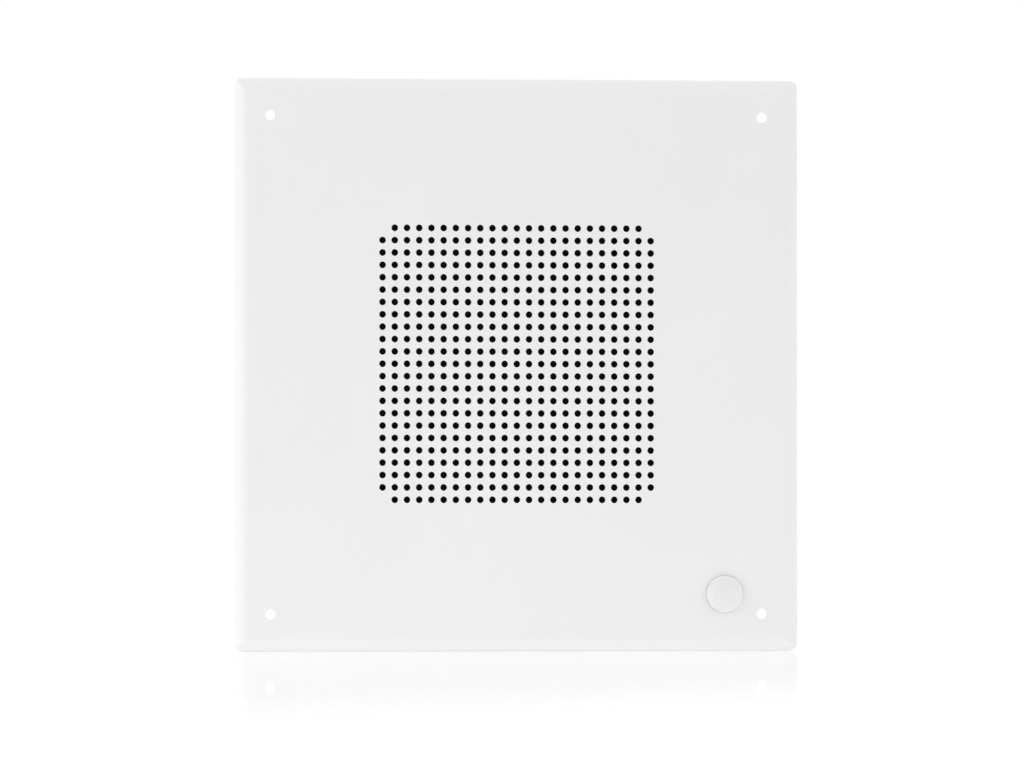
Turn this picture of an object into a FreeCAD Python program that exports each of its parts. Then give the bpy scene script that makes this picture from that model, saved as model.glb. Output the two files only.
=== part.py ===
import FreeCAD
import Part
import Sketcher
import math
import os
import re

# Flush wall speaker: a perforated steel baffle that carries an 8 inch loudspeaker and its line transformer.
# Millimetres. The baffle's front face is the plane y = 0 and looks along -Y, the wall is behind it, +Z is up.
# The origin is the centre of the four wall screw holes, on the front face.

SIZES = {
    # baffle, a shallow pan of painted sheet steel
    "baffle_side": 294.2,
    "baffle_depth": 5.0,
    "baffle_gauge": 0.9,
    "edge_sweep": 13.0,
    "edge_bevel": 3.2,
    "edge_nose": 1.2,
    "corner_radius": 4.8,
    "screw_inset": 19.1,
    "screw_hole": 5.4,
    # perforated field
    "hole_pitch": 6.35,
    "hole_diameter": 3.5,
    "hole_count": 23,
    "field_rise": 0.55,
    # badge, a domed disc stuck beside the lower right screw hole
    "badge_diameter": 19.0,
    "badge_edge": 1.1,
    "badge_dome": 1.3,
    "badge_inset": 19.6,
    "badge_rise": 10.1,
    # weld studs and nuts that hold the loudspeaker, and the layers they clamp
    "bolt_inset": 6.15,
    "stud_diameter": 4.2,
    "stud_length": 14.0,
    "stud_point": 0.6,
    "stud_clearance": 0.4,
    "nut_flats": 7.0,
    "nut_height": 3.2,
    "nut_collar": 4.2,
    "nut_collar_height": 0.9,
    "scrim_thickness": 0.4,
    "gasket_thickness": 3.0,
    "gasket_width": 11.0,
    # pressed steel basket
    "flange_radius": 103.0,
    "basket_gauge": 1.0,
    "flange_width": 12.5,
    "ledge_drop": 4.0,
    "ledge_width": 8.0,
    "basket_neck": 48.0,
    "basket_depth": 38.5,
    "spider_seat": 8.0,
    "cup_depth": 11.2,
    "cup_hole": 17.0,
    "spoke_width": 22.0,
    "window_margin": 4.0,
    "window_corner": 6.0,
    "edge_relief": 1.2,
    # moving parts: cone, dust cap, voice coil and the two suspensions
    "surround_width": 9.5,
    "cone_lip": 3.5,
    "neck_gap": 5.85,
    "cone_wall": 0.7,
    "cap_radius": 19.0,
    "cap_height": 7.0,
    "cap_wall": 0.5,
    "coil_bore": 12.7,
    "former_wall": 0.2,
    "former_nose": 2.0,
    "winding_build": 0.5,
    "winding_height": 8.0,
    "glue_gap": 0.15,
    "surround_wall": 0.5,
    "surround_pleat": 1.0,
    "spider_wall": 0.5,
    "spider_pleat": 1.2,
    "spider_collar": 3.5,
    # magnet system
    "coil_clearance": 0.4,
    "plate_radius": 40.0,
    "plate_thickness": 5.0,
    "magnet_radius": 42.0,
    "magnet_bore": 21.0,
    "magnet_thickness": 14.0,
    "yoke_radius": 39.0,
    "yoke_thickness": 5.0,
    "yoke_bevel": 1.2,
    "stake_circle": 56.0,
    "stake_diameter": 5.0,
    "stake_proud": 0.8,
    # terminal board on the back of the basket, with solder lugs
    "board_width": 28.0,
    "board_length": 22.0,
    "board_thickness": 1.6,
    "board_gap": 0.4,
    "board_corner": 2.0,
    "rivet_diameter": 3.2,
    "rivet_head": 6.0,
    "rivet_head_height": 1.0,
    "lug_spacing": 17.0,
    "lug_width": 4.0,
    "lug_gauge": 0.6,
    "lug_length": 14.0,
    "lug_rise": 8.0,
    "tinsel_diameter": 1.0,
    # line transformer: iron core, bobbin, winding and its strap
    "transformer_inset": 36.0,
    "transformer_gap": 7.5,
    "leg_width": 6.5,
    "core_window": 7.5,
    "core_height": 34.0,
    "core_stack": 14.0,
    "bobbin_wall": 0.9,
    "bobbin_fit": 0.2,
    "bobbin_flange": 1.2,
    "bobbin_reach": 8.5,
    "winding_inset": 0.7,
    "winding_corner": 3.0,
    "strap_gauge": 1.2,
    "strap_bend": 1.8,
    "ear_length": 12.0,
    "ear_stud": 3.5,
    "ear_stud_length": 8.0,
    "ear_nut_flats": 5.5,
    "ear_nut_height": 2.8,
    "tab_width": 2.8,
    "tab_gauge": 0.6,
    "tab_height": 9.0,
    "tab_pitch": 6.0,
    "lead_diameter": 1.7,
}

doc = FreeCAD.newDocument("wall_speaker")
sheet = doc.addObject("Spreadsheet::Sheet", "Sizes")
for row, (name, size) in enumerate(SIZES.items(), start=1):
    sheet.set(f"A{row}", name)
    sheet.set(f"B{row}", str(size))
    sheet.setAlias(f"B{row}", name)
doc.recompute()

# Depths from the front face towards the back, as expressions of the sheet's names
INSIDE = "baffle_gauge"
SCRIM_BACK = f"({INSIDE} + scrim_thickness)"
FLANGE = f"({SCRIM_BACK} + gasket_thickness)"
FLANGE_BACK = f"({FLANGE} + basket_gauge)"
LEDGE = f"({FLANGE} + ledge_drop)"
SEAT = f"({FLANGE} + basket_depth)"
SEAT_BACK = f"({SEAT} + basket_gauge)"
CUP = f"({SEAT} + cup_depth)"
PLATE = f"({CUP} + basket_gauge)"
MAGNET = f"({PLATE} + plate_thickness)"
YOKE = f"({MAGNET} + magnet_thickness)"
YOKE_BACK = f"({YOKE} + yoke_thickness)"
BOARD_BACK = f"({SEAT_BACK} + board_thickness)"

# Radii and places that several pieces share
SCREW = "(baffle_side / 2 - screw_inset)"
BEVEL_SINE = "0.28"
BEVEL_COSINE = "0.96"
EDGE_WIDTH = f"({BEVEL_SINE} * edge_sweep + {BEVEL_COSINE} * edge_bevel + (1 - {BEVEL_SINE}) * edge_nose)"
EDGE_DEPTH = f"((1 - {BEVEL_COSINE}) * edge_sweep + {BEVEL_SINE} * edge_bevel + {BEVEL_COSINE} * edge_nose)"
HOLES = "floor(hole_count + 0.5)"
LEDGE_OUTER = "(flange_radius - flange_width)"
LEDGE_INNER = f"({LEDGE_OUTER} - ledge_width)"
SEAT_INNER = "(basket_neck - spider_seat)"
FORMER_OUTER = "(coil_bore + former_wall)"
COIL_OUTER = f"({FORMER_OUTER} + winding_build)"
STUD_HOLE = "(stud_diameter + 2 * stud_clearance)"
STUD_PLACE = "((flange_radius - bolt_inset) / sqrt(2))"
CONE_RIM = f"({LEDGE} + glue_gap)"
CONE_RADIUS = f"({LEDGE_INNER} - surround_width)"
CONE_SLOPE_START = f"({CONE_RADIUS} - cone_lip)"
CONE_NECK = f"({SEAT} - neck_gap)"
CONE_SLOPE = f"(({CONE_NECK} - {CONE_RIM}) / ({CONE_SLOPE_START} - {FORMER_OUTER}))"
BOARD_START = f"({SEAT_INNER} + basket_gauge + board_gap)"

# Transformer: its centre stands in the upper right corner, clear of the loudspeaker's flange
CORE_HALF = "(leg_width * 2 + core_window)"
STRAP_HALF = f"({CORE_HALF} + strap_gauge)"
EAR_REACH = f"({STRAP_HALF} + ear_length)"
TRANSFORMER_X = f"({SCREW} - transformer_inset)"
TRANSFORMER_Z = (
    f"(sqrt((flange_radius + transformer_gap)^2 - ({TRANSFORMER_X} - {EAR_REACH})^2) + core_stack / 2)"
)
CORE_TOP = f"({INSIDE} + core_height)"
BOBBIN_TOP = f"({CORE_TOP} - leg_width)"
BOBBIN_FOOT = f"({INSIDE} + leg_width)"


def cells(expression):
    """The expression with each of the sheet's names turned into a reference to its cell."""
    return re.sub(r"[a-z_]+", lambda word: f"Sizes.{word[0]}" if word[0] in SIZES else word[0], expression)


def value(expression):
    """The number that an expression gives now."""
    return float(sheet.evalExpression(cells(expression)))


def point(x, y, z):
    return FreeCAD.Vector(value(x), value(y), value(z))


def new_body(label):
    body = doc.addObject("PartDesign::Body", label)
    body.Label = label
    body.AllowCompound = True
    return body


def origin_feature(body, role):
    return next(feature for feature in body.Origin.OriginFeatures if feature.Role == role)


def new_sketch(body, plane, offset):
    """An empty sketch: XZ_Plane at the depth y = offset, XY_Plane at the height z or YZ_Plane at x."""
    sketch = body.newObject("Sketcher::SketchObject", "Sketch")
    sketch.AttachmentSupport = (origin_feature(body, plane), [""])
    sketch.MapMode = "FlatFace"
    along_normal = f"-({offset})" if plane == "XZ_Plane" else offset
    sketch.setExpression("AttachmentOffset.Base.z", cells(along_normal))
    return sketch


def bind(sketch, constraint, expression):
    """Adds a dimension and ties it to the sheet."""
    index = sketch.addConstraint(constraint)
    sketch.setExpression(f"Constraints[{index}]", cells(expression))


def pin_point(sketch, geometry, end, x, y):
    """Fixes one end of a line or arc, or a circle's centre, at x, y."""
    for kind, axis, expression in (("DistanceX", -2, x), ("DistanceY", -1, y)):
        if expression == "0":
            sketch.addConstraint(Sketcher.Constraint("PointOnObject", geometry, end, axis))
        else:
            bind(sketch, Sketcher.Constraint(kind, geometry, end, value(expression)), expression)


def arc_between(start, end, radius):
    """The short arc from start to end: it turns left for a positive radius and right for a negative one."""
    chord = end - start
    middle = (start + end) / 2
    left = FreeCAD.Vector(-chord.y, chord.x, 0).normalize()
    rise = math.sqrt(max(radius**2 - (chord.Length / 2) ** 2, 0))
    centre = middle + left * math.copysign(rise, radius)
    first, last = (start, end) if radius > 0 else (end, start)
    circle = Part.Circle(centre, FreeCAD.Vector(0, 0, 1), abs(radius))
    angles = [math.atan2(p.y - centre.y, p.x - centre.x) for p in (first, last)]
    return Part.ArcOfCircle(circle, angles[0], angles[1])


def outline(body, plane, offset, corners, arcs=None):
    """A closed outline through corners, pairs of expressions. arcs gives the radius of a curved side."""
    arcs = arcs or {}
    sketch = new_sketch(body, plane, offset)
    places = [FreeCAD.Vector(value(x), value(y), 0) for x, y in corners]
    ends = []
    for side, start in enumerate(places):
        end = places[(side + 1) % len(places)]
        if side in arcs:
            radius = value(arcs[side])
            sketch.addGeometry(arc_between(start, end, radius), False)
            ends.append((1, 2) if radius > 0 else (2, 1))
        else:
            sketch.addGeometry(Part.LineSegment(start, end), False)
            ends.append((1, 2))
    for side in range(len(corners)):
        following = (side + 1) % len(corners)
        joint = Sketcher.Constraint("Coincident", side, ends[side][1], following, ends[following][0])
        sketch.addConstraint(joint)
    for side, (x, y) in enumerate(corners):
        pin_point(sketch, side, ends[side][0], x, y)
    for side, radius in arcs.items():
        size = radius if value(radius) > 0 else f"-({radius})"
        bind(sketch, Sketcher.Constraint("Radius", side, value(size)), size)
    return sketch


def circles(body, depth, places, diameter):
    """Circles of one diameter on the plane y = depth, each at an x, z pair."""
    sketch = new_sketch(body, "XZ_Plane", depth)
    for index, (x, z) in enumerate(places):
        centre = FreeCAD.Vector(value(x), value(z), 0)
        sketch.addGeometry(Part.Circle(centre, FreeCAD.Vector(0, 0, 1), value(diameter) / 2), False)
        pin_point(sketch, index, 3, x, z)
        bind(sketch, Sketcher.Constraint("Diameter", index, value(diameter)), diameter)
    return sketch


def box_corners(left, bottom, right, top):
    return [(left, bottom), (right, bottom), (right, top), (left, top)]


def pad(body, sketch, length):
    """Material from the sketch towards the back, +Y (+Z from a level sketch)."""
    feature = body.newObject("PartDesign::Pad", "Pad")
    feature.Profile = sketch
    feature.setExpression("Length", cells(length))
    feature.Reversed = sketch.AttachmentSupport[0][0].Role == "XZ_Plane"
    doc.recompute()
    return feature


def pocket(body, sketch):
    """A cut from the sketch right through, towards the back."""
    before = body.Tip.Shape.Volume
    feature = body.newObject("PartDesign::Pocket", "Pocket")
    feature.Profile = sketch
    feature.Type = "ThroughAll"
    doc.recompute()
    if feature.Shape.Volume >= before:
        raise RuntimeError(f"{body.Label}: a pocket cut nothing")
    return feature


def turned(label, corners, arcs=None, axis_x="0", axis_z="0"):
    """A body turned about an axis along Y at axis_x, axis_z. Corners are radius and depth pairs."""
    body = new_body(label)
    places = [(radius if axis_x == "0" else f"{axis_x} + ({radius})", depth) for radius, depth in corners]
    sketch = outline(body, "XY_Plane", axis_z, places, arcs)
    if axis_x == "0":
        axis = "V_Axis"
    else:
        line = Part.LineSegment(point(axis_x, "0", "0"), point(axis_x, "flange_radius", "0"))
        index = sketch.addGeometry(line, True)
        pin_point(sketch, index, 1, axis_x, "0")
        pin_point(sketch, index, 2, axis_x, "flange_radius")
        axis = "Axis0"
    feature = body.newObject("PartDesign::Revolution", "Revolution")
    feature.Profile = sketch
    feature.ReferenceAxis = (sketch, [axis])
    feature.Angle = 360
    doc.recompute()
    return body


def repeat_around(body, features, count):
    """The same features count times round the loudspeaker's axis."""
    pattern = body.newObject("PartDesign::PolarPattern", "PolarPattern")
    pattern.Originals = features
    pattern.Axis = (origin_feature(body, "Y_Axis"), [""])
    pattern.Angle = 360
    pattern.Occurrences = count
    body.Tip = pattern
    doc.recompute()
    return pattern


def repeat_grid(body, feature, columns, rows, column_step, row_step):
    """The same hole in columns to the right and rows upwards."""
    pattern = body.newObject("PartDesign::LinearPattern", "LinearPattern")
    pattern.Originals = [feature]
    pattern.Direction = (origin_feature(body, "X_Axis"), [""])
    pattern.Direction2 = (origin_feature(body, "Z_Axis"), [""])
    pattern.setExpression("Occurrences", cells(columns))
    pattern.setExpression("Occurrences2", cells(rows))
    pattern.setExpression("Length", cells(f"({columns} - 1) * {column_step}"))
    pattern.setExpression("Length2", cells(f"({rows} - 1) * {row_step}"))
    body.Tip = pattern
    doc.recompute()
    return pattern


def soften(body, kind, size, chosen):
    """Fillets or chamfers the edges of the body's last feature that chosen accepts."""
    base = body.Tip
    names = [f"Edge{index}" for index, edge in enumerate(base.Shape.Edges, start=1) if chosen(edge)]
    if not names:
        raise RuntimeError(f"{body.Label}: no edge to soften")
    feature = body.newObject(f"PartDesign::{kind}", kind)
    feature.Base = (base, names)
    feature.setExpression("Radius" if kind == "Fillet" else "Size", cells(size))
    doc.recompute()
    return feature


def along_depth(edge):
    """True for a straight edge that runs front to back."""
    return isinstance(edge.Curve, Part.Line) and abs(edge.Curve.Direction.y) > 0.999


def at_depth(edge, depth):
    """True for an edge that lies in the plane y = depth."""
    box = edge.BoundBox
    return abs(box.YMin - value(depth)) < 1e-4 and abs(box.YMax - value(depth)) < 1e-4


def diagonal(along, across):
    """An x, z pair: along the line that rises at 45 degrees to the right, and across it to the left."""
    return (f"(({along}) - ({across})) / sqrt(2)", f"(({along}) + ({across})) / sqrt(2)")


# Front


def rolled_block(label, inset):
    """A square block, inset all round, with mitred round front edges and corners that are round in plan.

    Each edge leaves the face on a large curve, the sweep, goes on as a flat bevel and turns into the side on a
    small curve, the nose. The bevel leans by the smaller angle of a 7-24-25 triangle.
    """
    body = new_body(label)
    half = f"(baffle_side / 2 - {inset})"
    square = outline(body, "XZ_Plane", inset, box_corners(f"-{half}", f"-{half}", half, half))
    pad(body, square, "baffle_depth")
    start = f"(baffle_side / 2 - {EDGE_WIDTH})"
    sweep = f"(edge_sweep - {inset})"
    above = f"{half} + edge_sweep"
    before = f"{inset} - edge_sweep"
    bevel_y = f"(edge_sweep - {BEVEL_COSINE} * {sweep})"
    bevel_z = f"({start} + {BEVEL_SINE} * {sweep})"
    bevel_end = (f"{bevel_y} + {BEVEL_SINE} * edge_bevel", f"{bevel_z} + {BEVEL_COSINE} * edge_bevel")
    edge = [(inset, start), (bevel_y, bevel_z), bevel_end, (EDGE_DEPTH, half)]
    edge += [(EDGE_DEPTH, above), (before, above), (before, start)]
    curves = {0: f"-{sweep}", 2: f"-(edge_nose - {inset})"}
    roll = pocket(body, outline(body, "YZ_Plane", half, edge, curves))
    turn_start = "(baffle_side / 2 - corner_radius)"
    beyond = f"{half} + corner_radius"
    corner = [(half, turn_start), (turn_start, half), (turn_start, beyond)]
    corner += [(beyond, beyond), (beyond, turn_start)]
    turn = pocket(body, outline(body, "XZ_Plane", inset, corner, {0: f"corner_radius - {inset}"}))
    repeat_around(body, [roll, turn], 4)
    return body


def make_baffle():
    """Shallow pan with rounded edges, wall screw holes and a perforated field without its corner holes."""
    body = rolled_block("baffle", "0")
    hollow = body.newObject("PartDesign::Boolean", "Boolean")
    hollow.Type = "Cut"
    hollow.setObjects([rolled_block("baffle_inside", "baffle_gauge")])
    doc.recompute()
    corners = box_corners(f"-{SCREW}", f"-{SCREW}", SCREW, SCREW)
    pocket(body, circles(body, "0", corners, "screw_hole"))
    start = f"(-({HOLES} - 1) / 2 * hole_pitch)"
    inner_columns = [(f"{start} + hole_pitch", f"{start} + field_rise")]
    first = pocket(body, circles(body, "0", inner_columns, "hole_diameter"))
    repeat_grid(body, first, f"{HOLES} - 2", HOLES, "hole_pitch", "hole_pitch")
    outer_columns = [(start, f"{start} + hole_pitch + field_rise")]
    second = pocket(body, circles(body, "0", outer_columns, "hole_diameter"))
    repeat_grid(body, second, "2", f"{HOLES} - 2", f"({HOLES} - 1) * hole_pitch", "hole_pitch")
    return body


def make_badge():
    """Plain domed disc on the front face."""
    radius = "badge_diameter / 2"
    corners = [("0", "0"), (radius, "0"), (radius, "-badge_edge"), ("0", "-badge_edge - badge_dome")]
    dome = f"-(({radius})^2 + badge_dome^2) / (2 * badge_dome)"
    place_x = f"({SCREW} - badge_inset)"
    place_z = f"(badge_rise - {SCREW})"
    return turned("badge", corners, {2: dome}, place_x, place_z)


def make_scrim():
    """Black cloth disc behind the perforated field, held under the gasket and pierced by the studs."""
    radius = "flange_radius - edge_relief"
    body = turned("scrim", [("0", INSIDE), (radius, INSIDE), (radius, SCRIM_BACK), ("0", SCRIM_BACK)])
    hole = pocket(body, circles(body, "0", [(STUD_PLACE, STUD_PLACE)], STUD_HOLE))
    repeat_around(body, [hole], 4)
    return body


def make_gasket():
    """Ring between the scrim and the basket's flange."""
    inner = "(flange_radius - gasket_width)"
    corners = box_corners(inner, SCRIM_BACK, "flange_radius", FLANGE)
    body = turned("gasket", corners)
    hole = pocket(body, circles(body, "0", [(STUD_PLACE, STUD_PLACE)], STUD_HOLE))
    repeat_around(body, [hole], 4)
    return body


def stud_profile(diameter, length):
    """Half outline of a weld stud that stands on the inside of the baffle."""
    radius = f"{diameter} / 2"
    end = f"({INSIDE} + {length})"
    return [
        ("0", INSIDE),
        (radius, INSIDE),
        (radius, f"{end} - stud_point"),
        (f"{radius} - stud_point", end),
        ("0", end),
    ]


def make_driver_studs():
    profile = stud_profile("stud_diameter", "stud_length")
    body = turned("driver_studs", profile, None, STUD_PLACE, STUD_PLACE)
    repeat_around(body, [body.Tip], 4)
    return body


def hexagon(x, z, flats):
    """Corners of a nut at x, z with the given size across its flats."""
    reach = f"{flats} / sqrt(3)"
    return [(f"{x} + {reach} * cos({turn})", f"{z} + {reach} * sin({turn})") for turn in range(0, 360, 60)]


def make_driver_nuts():
    """Hexagon nuts with a collar, on the back of the basket's flange."""
    body = new_body("driver_nuts")
    place = [(STUD_PLACE, STUD_PLACE)]
    collar = pad(body, circles(body, FLANGE_BACK, place, "2 * nut_collar"), "nut_collar_height")
    above = f"{FLANGE_BACK} + nut_collar_height"
    sides = outline(body, "XZ_Plane", above, hexagon(STUD_PLACE, STUD_PLACE, "nut_flats"))
    block = pad(body, sides, "nut_height")
    bore = pocket(body, circles(body, "0", place, "stud_diameter"))
    repeat_around(body, [collar, block, bore], 4)
    return body


# Basket and magnet system


def make_basket():
    """Pressed frame: flange, surround ledge, sloping wall with windows, spider seat and magnet cup."""
    drop = "(basket_depth - ledge_drop)"
    inwards = f"({LEDGE_INNER} - basket_neck)"
    mitre = f"(basket_gauge * (hypot({inwards}; {drop}) - {inwards}) / {drop})"
    front = [
        ("flange_radius", FLANGE),
        (LEDGE_OUTER, FLANGE),
        (LEDGE_OUTER, LEDGE),
        (LEDGE_INNER, LEDGE),
        ("basket_neck", SEAT),
        (SEAT_INNER, SEAT),
        (SEAT_INNER, CUP),
        ("cup_hole", CUP),
    ]
    back = [
        ("cup_hole", PLATE),
        (f"{SEAT_INNER} + basket_gauge", PLATE),
        (f"{SEAT_INNER} + basket_gauge", SEAT_BACK),
        (f"basket_neck + {mitre}", SEAT_BACK),
        (f"{LEDGE_INNER} + {mitre}", f"{LEDGE} + basket_gauge"),
        (f"{LEDGE_OUTER} + basket_gauge", f"{LEDGE} + basket_gauge"),
        (f"{LEDGE_OUTER} + basket_gauge", FLANGE_BACK),
        ("flange_radius", FLANGE_BACK),
    ]
    body = turned("basket", front + back)
    inner = "(basket_neck + window_margin)"
    outer = f"({LEDGE_INNER} - window_margin)"
    opening = pocket(body, window_outline(body, inner, outer))
    repeat_around(body, [opening], 4)
    bolt = pocket(body, circles(body, "0", [(STUD_PLACE, STUD_PLACE)], STUD_HOLE))
    repeat_around(body, [bolt], 4)
    stake = pocket(body, circles(body, "0", [("stake_circle / 2", "0")], "stake_diameter"))
    repeat_around(body, [stake], 4)
    pocket(body, circles(body, "0", [board_rivet_place()], "rivet_diameter"))
    return body


def window_outline(body, inner, outer):
    """The window to the right: two arcs, two sides that keep the spokes' width, and rounded corners."""
    side = "(spoke_width / 2)"
    bend = f"({side} + window_corner)"

    def corner(radius, bend_circle):
        along = f"sqrt({bend_circle}^2 - {bend}^2)"
        on_side = diagonal(along, f"-{side}")
        on_arc = diagonal(f"{along} * {radius} / {bend_circle}", f"-{bend} * {radius} / {bend_circle}")
        return on_side, on_arc

    near_side, near_arc = corner(inner, f"({inner} + window_corner)")
    far_side, far_arc = corner(outer, f"({outer} - window_corner)")
    upper = [far_arc, far_side, near_side, near_arc]
    lower = [(x, f"-({z})") for x, z in reversed(upper)]
    rounding = {side_index: "window_corner" for side_index in (0, 2, 4, 6)}
    return outline(body, "XZ_Plane", "0", lower + upper, {**rounding, 3: outer, 7: f"-{inner}"})


def make_top_plate():
    """Front washer of the magnet, staked to the basket's cup by four bosses."""
    bore = f"({COIL_OUTER} + coil_clearance)"
    body = turned("top_plate", box_corners(bore, PLATE, "plate_radius", MAGNET))
    foot = f"{PLATE} - basket_gauge - stake_proud"
    boss = circles(body, foot, [("stake_circle / 2", "0")], "stake_diameter")
    stake = pad(body, boss, "basket_gauge + stake_proud")
    repeat_around(body, [stake], 4)
    return body


def make_magnet():
    corners = box_corners("magnet_bore", MAGNET, "magnet_radius", YOKE)
    body = turned("magnet", corners)
    soften(body, "Chamfer", "yoke_bevel / 2", lambda edge: isinstance(edge.Curve, Part.Circle))
    return body


def make_pole_piece():
    """Back plate and centre pole, forged as one."""
    pole = "(coil_bore - coil_clearance)"
    corners = [
        ("0", PLATE),
        (f"{pole} - yoke_bevel", PLATE),
        (pole, f"{PLATE} + yoke_bevel"),
        (pole, YOKE),
        ("yoke_radius", YOKE),
        ("yoke_radius", f"{YOKE_BACK} - yoke_bevel"),
        ("yoke_radius - yoke_bevel", YOKE_BACK),
        ("0", YOKE_BACK),
    ]
    return turned("pole_piece", corners)


# Moving parts


def make_cone():
    """Paper cone with a flat lip for the surround and a neck on the coil former."""
    front = [(CONE_RADIUS, CONE_RIM), (CONE_SLOPE_START, CONE_RIM), (FORMER_OUTER, CONE_NECK)]
    back = [
        (FORMER_OUTER, f"{CONE_NECK} + cone_wall"),
        (CONE_SLOPE_START, f"{CONE_RIM} + cone_wall"),
        (CONE_RADIUS, f"{CONE_RIM} + cone_wall"),
    ]
    return turned("cone", front + back)


def make_dust_cap():
    """Dome over the voice coil, with its edge on the cone."""
    edge = f"({CONE_RIM} + ({CONE_SLOPE_START} - cap_radius) * {CONE_SLOPE})"
    bend = "((cap_radius^2 + cap_height^2) / (2 * cap_height))"
    top = f"({edge} - cap_wall - cap_height)"
    corners = [
        ("0", top),
        ("cap_radius", f"{edge} - cap_wall"),
        ("cap_radius", edge),
        ("0", f"{top} + cap_wall"),
    ]
    return turned("dust_cap", corners, {0: bend, 2: f"-{bend}"})


def make_coil_former():
    corners = box_corners("coil_bore", f"{CONE_NECK} - former_nose", FORMER_OUTER, coil_end())
    return turned("coil_former", corners)


def coil_start():
    return f"({PLATE} + plate_thickness / 2 - winding_height / 2)"


def coil_end():
    return f"({coil_start()} + winding_height)"


def make_voice_coil():
    return turned("voice_coil", box_corners(FORMER_OUTER, coil_start(), COIL_OUTER, coil_end()))


def pleated(label, outer, lip, pleats, inner_start, inner, back, wall, height):
    """A ring of arc shaped pleats between a flat outer lip and a flat inner collar. It lies on y = back."""
    step = f"(({outer} - {lip} - {inner_start}) / {pleats})"
    bend = f"((({step}) / 2)^2 + {height}^2) / (2 * {height})"
    knots = [f"({outer} - {lip} - {turn} * {step})" for turn in range(pleats + 1)]
    radii = [outer] + knots + [inner]
    front = [(radius, f"{back} - {wall}") for radius in radii]
    rear = [(radius, back) for radius in reversed(radii)]
    count = len(radii)
    arcs = {}
    for turn in range(pleats):
        sign = "" if turn % 2 else "-"
        arcs[1 + turn] = f"{sign}({bend})"
        opposite = "-" if turn % 2 else ""
        arcs[2 * count - 3 - turn] = f"{opposite}({bend})"
    return turned(label, front + rear, arcs)


def make_surround():
    """Pleated cloth edge between the cone's lip and the basket's ledge."""
    outer = f"({LEDGE_OUTER} - edge_relief / 2)"
    lip = f"({outer} - {LEDGE_INNER} + edge_relief / 2)"
    inner = f"({CONE_SLOPE_START} + edge_relief / 2)"
    return pleated(
        "surround", outer, lip, 3, CONE_RADIUS, inner, LEDGE, "surround_wall", "surround_pleat"
    )


def make_spider():
    """Pleated centring disc between the coil former and the basket's seat."""
    outer = "(basket_neck - edge_relief / 2)"
    lip = f"({outer} - {SEAT_INNER})"
    inner = f"({FORMER_OUTER} + glue_gap)"
    start = f"({inner} + spider_collar)"
    return pleated("spider", outer, lip, 6, start, inner, SEAT, "spider_wall", "spider_pleat")


# Terminal board


def board_rivet_place():
    return diagonal(f"({BOARD_START} + rivet_head / 2 + board_gap)", "0")


def make_terminal_board():
    """Insulating strip across the spoke at the upper right, riveted to the back of the spider seat."""
    body = new_body("terminal_board")
    end = f"({BOARD_START} + board_length)"
    side = "board_width / 2"
    corners = [
        diagonal(BOARD_START, f"-{side}"),
        diagonal(end, f"-{side}"),
        diagonal(end, side),
        diagonal(BOARD_START, side),
    ]
    pad(body, outline(body, "XZ_Plane", SEAT_BACK, corners), "board_thickness")
    soften(body, "Fillet", "board_corner", along_depth)
    pocket(body, circles(body, "0", [board_rivet_place()], "rivet_diameter"))
    return body


def make_terminal_rivet():
    """Rivet through the board and the seat, flush in front and domed behind."""
    body = new_body("terminal_rivet")
    place = [board_rivet_place()]
    pad(body, circles(body, SEAT, place, "rivet_diameter"), "basket_gauge + board_thickness")
    pad(body, circles(body, BOARD_BACK, place, "rivet_head"), "rivet_head_height")
    crown = f"{BOARD_BACK} + rivet_head_height"
    soften(body, "Fillet", "rivet_head_height / 2", lambda edge: at_depth(edge, crown))
    return body


LUG_END = f"({BOARD_START} + board_length + lug_width)"
LUG_TIP = f"({BOARD_BACK} + lug_rise)"


def make_terminal_lugs():
    """Two bent solder lugs: a flat foot on the board and a pierced upright beyond its edge."""
    body = new_body("terminal_lugs")
    half = "lug_width / 2"
    for across in ("lug_spacing / 2", "-lug_spacing / 2"):
        start = f"{LUG_END} - lug_length"
        for near, length in ((start, "lug_gauge"), (f"{LUG_END} - lug_gauge", "lug_rise")):
            corners = [
                diagonal(near, f"{across} - {half}"),
                diagonal(LUG_END, f"{across} - {half}"),
                diagonal(LUG_END, f"{across} + {half}"),
                diagonal(near, f"{across} + {half}"),
            ]
            pad(body, outline(body, "XZ_Plane", BOARD_BACK, corners), length)
    return body


# Line transformer


def across_core(*places):
    """x expressions at offsets from the transformer's middle."""
    return [f"{TRANSFORMER_X} + ({place})" for place in places]


def make_transformer_core():
    """Stack of iron laminations with two windows beside its middle leg."""
    body = new_body("transformer_core")
    left, right = across_core(f"-{CORE_HALF}", CORE_HALF)
    bottom = f"{TRANSFORMER_Z} - core_stack / 2"
    pad(body, outline(body, "XY_Plane", bottom, box_corners(left, INSIDE, right, CORE_TOP)), "core_stack")
    middle = "leg_width"
    for near, far in ((middle, f"{middle} + core_window"), (f"-{middle} - core_window", f"-{middle}")):
        left, right = across_core(near, far)
        below = f"{TRANSFORMER_Z} - core_stack"
        gap = outline(body, "XY_Plane", below, box_corners(left, BOBBIN_FOOT, right, BOBBIN_TOP))
        through_stack(body, gap, "2 * core_stack")
    return body


def through_stack(body, sketch, length):
    """A cut upwards from a level sketch below the piece."""
    before = body.Tip.Shape.Volume
    feature = body.newObject("PartDesign::Pocket", "Pocket")
    feature.Profile = sketch
    feature.setExpression("Length", cells(length))
    feature.Reversed = True
    doc.recompute()
    if feature.Shape.Volume >= before:
        raise RuntimeError(f"{body.Label}: a pocket cut nothing")
    return feature


def ring_about_leg(x_half, z_half):
    """Corners of a rectangle about the transformer's middle that goes round its middle leg."""
    left, right = across_core(f"-({x_half})", x_half)
    return box_corners(left, f"{TRANSFORMER_Z} - ({z_half})", right, f"{TRANSFORMER_Z} + ({z_half})")


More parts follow.
